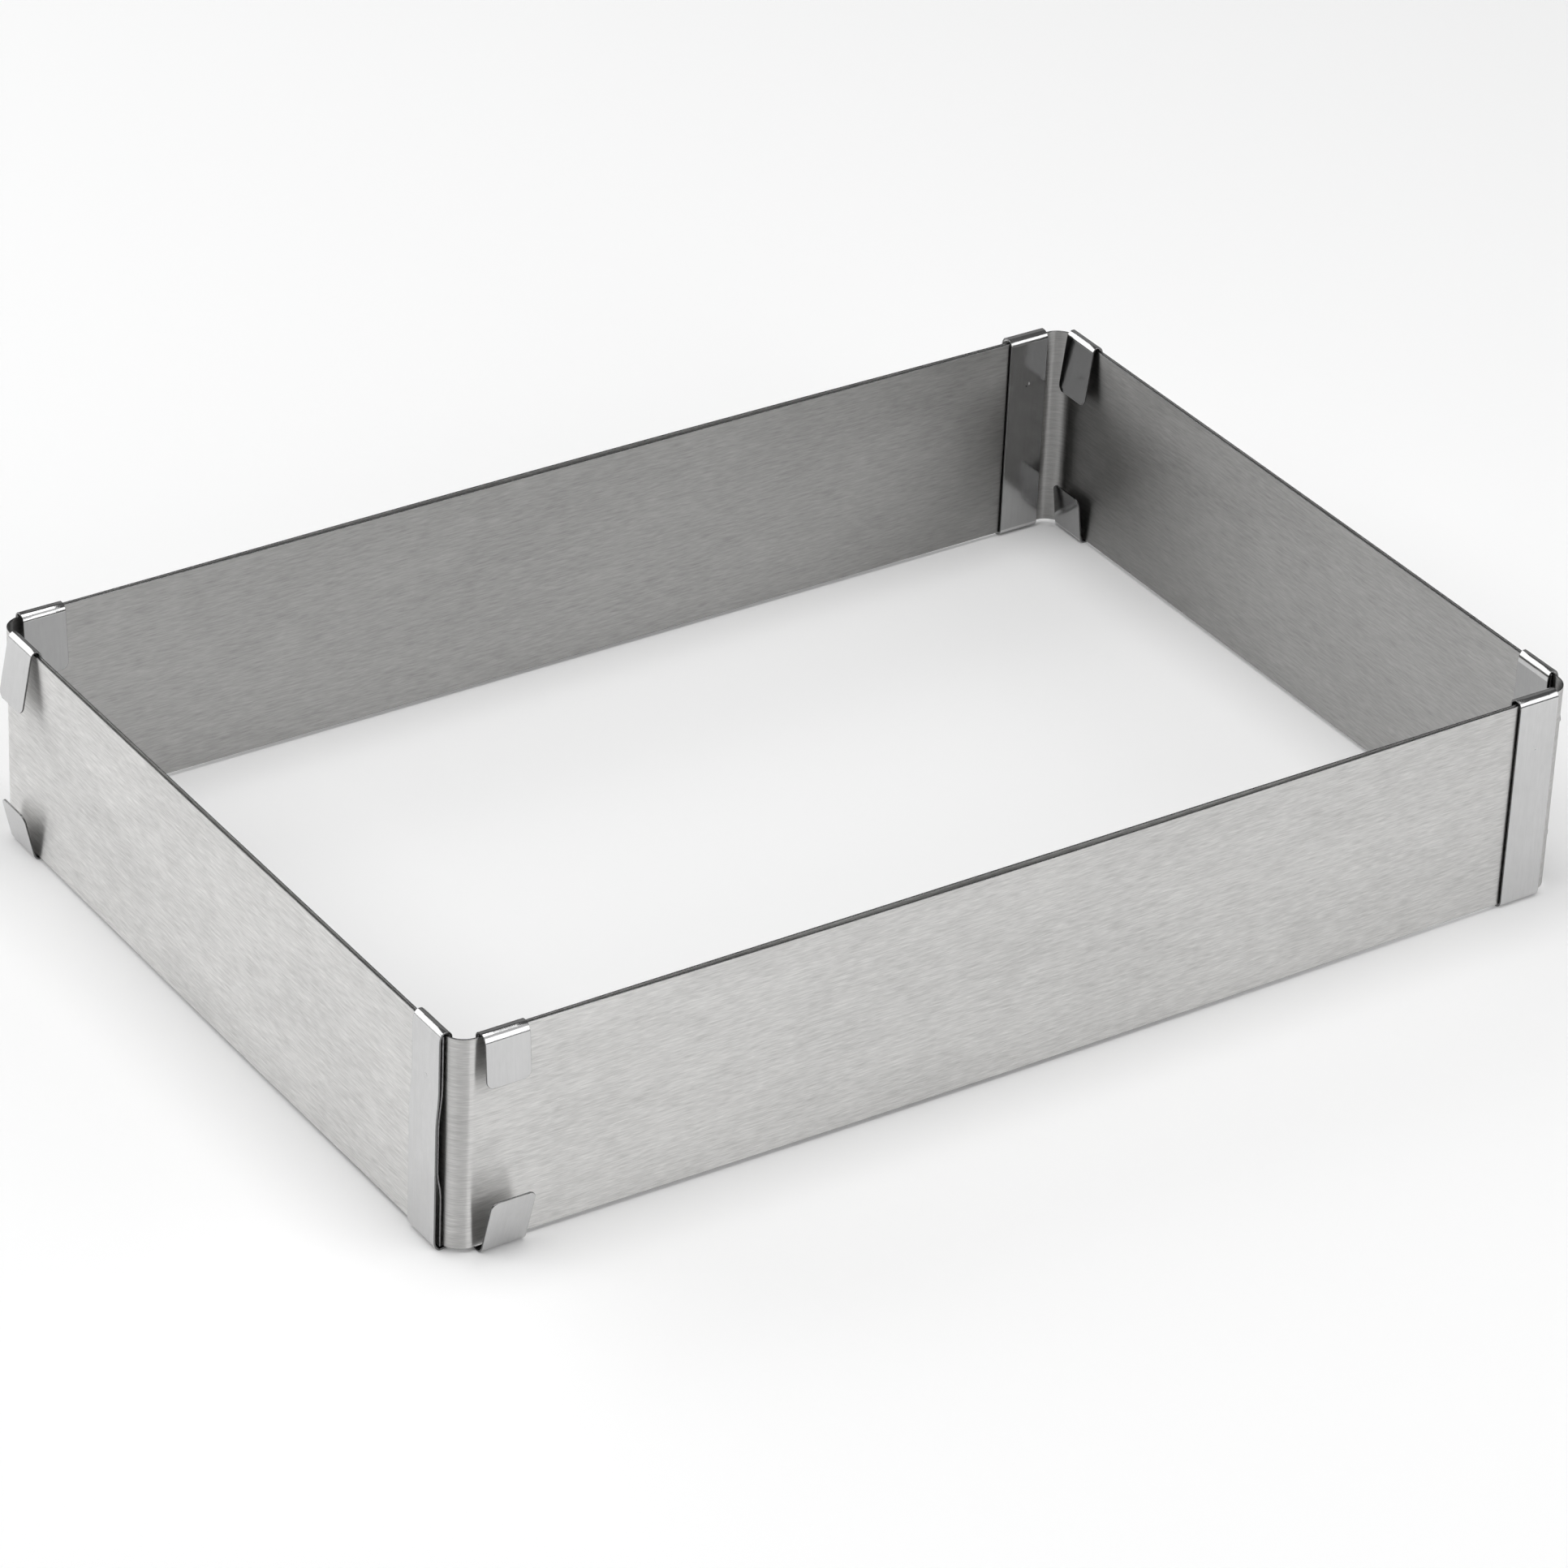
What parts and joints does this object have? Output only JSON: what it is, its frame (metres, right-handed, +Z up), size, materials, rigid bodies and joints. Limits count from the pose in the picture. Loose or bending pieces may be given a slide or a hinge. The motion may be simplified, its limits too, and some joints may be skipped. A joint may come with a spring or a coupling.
{
  "type": "adjustable cake frame",
  "caption": "Rectangular stainless baking frame of bent corner sheets that slide along one another in C-shaped clips, to set its length and width.",
  "frame": {"origin": "centre of the frame in plan, on the plane that the clips' lower folds stand on", "axes": "+X along the long walls, +Y along the short walls, +Z up"},
  "size_m": [0.287, 0.2018, 0.0518],
  "materials": {
    "sheet_steel": "brushed along the walls",
    "clip_steel": "bright, nearly polished"
  },
  "bodies": {
    "front_left_corner": {"sheet_front_left": "sheet_steel", "clip_front_wall_right": "clip_steel", "clip_left_wall_back": "clip_steel"},
    "front_right_corner": {"sheet_front_right": "sheet_steel", "clip_front_wall_left": "clip_steel", "clip_right_wall_back": "clip_steel"},
    "back_left_corner": {"sheet_back_left": "sheet_steel", "clip_back_wall_right": "clip_steel", "clip_left_wall_front": "clip_steel"},
    "back_right_corner": {"sheet_back_right": "sheet_steel", "clip_back_wall_left": "clip_steel", "clip_right_wall_front": "clip_steel"}
  },
  "joints": [
    {"name": "long_slide", "type": "slide", "parent": "front_left_corner", "child": "front_right_corner", "axis": [1, 0, 0], "range_m": [-0.002, 0.24]},
    {"name": "short_slide", "type": "slide", "parent": "front_left_corner", "child": "back_left_corner", "axis": [0, 1, 0], "range_m": [-0.0008, 0.15]},
    {"name": "long_slide_back", "type": "slide", "parent": "back_left_corner", "child": "back_right_corner", "axis": [1, 0, 0], "range_m": [-0.002, 0.24]}
  ],
  "couplings": [
    {"joint": "long_slide_back", "follows": "long_slide", "ratio": 1}
  ]
}
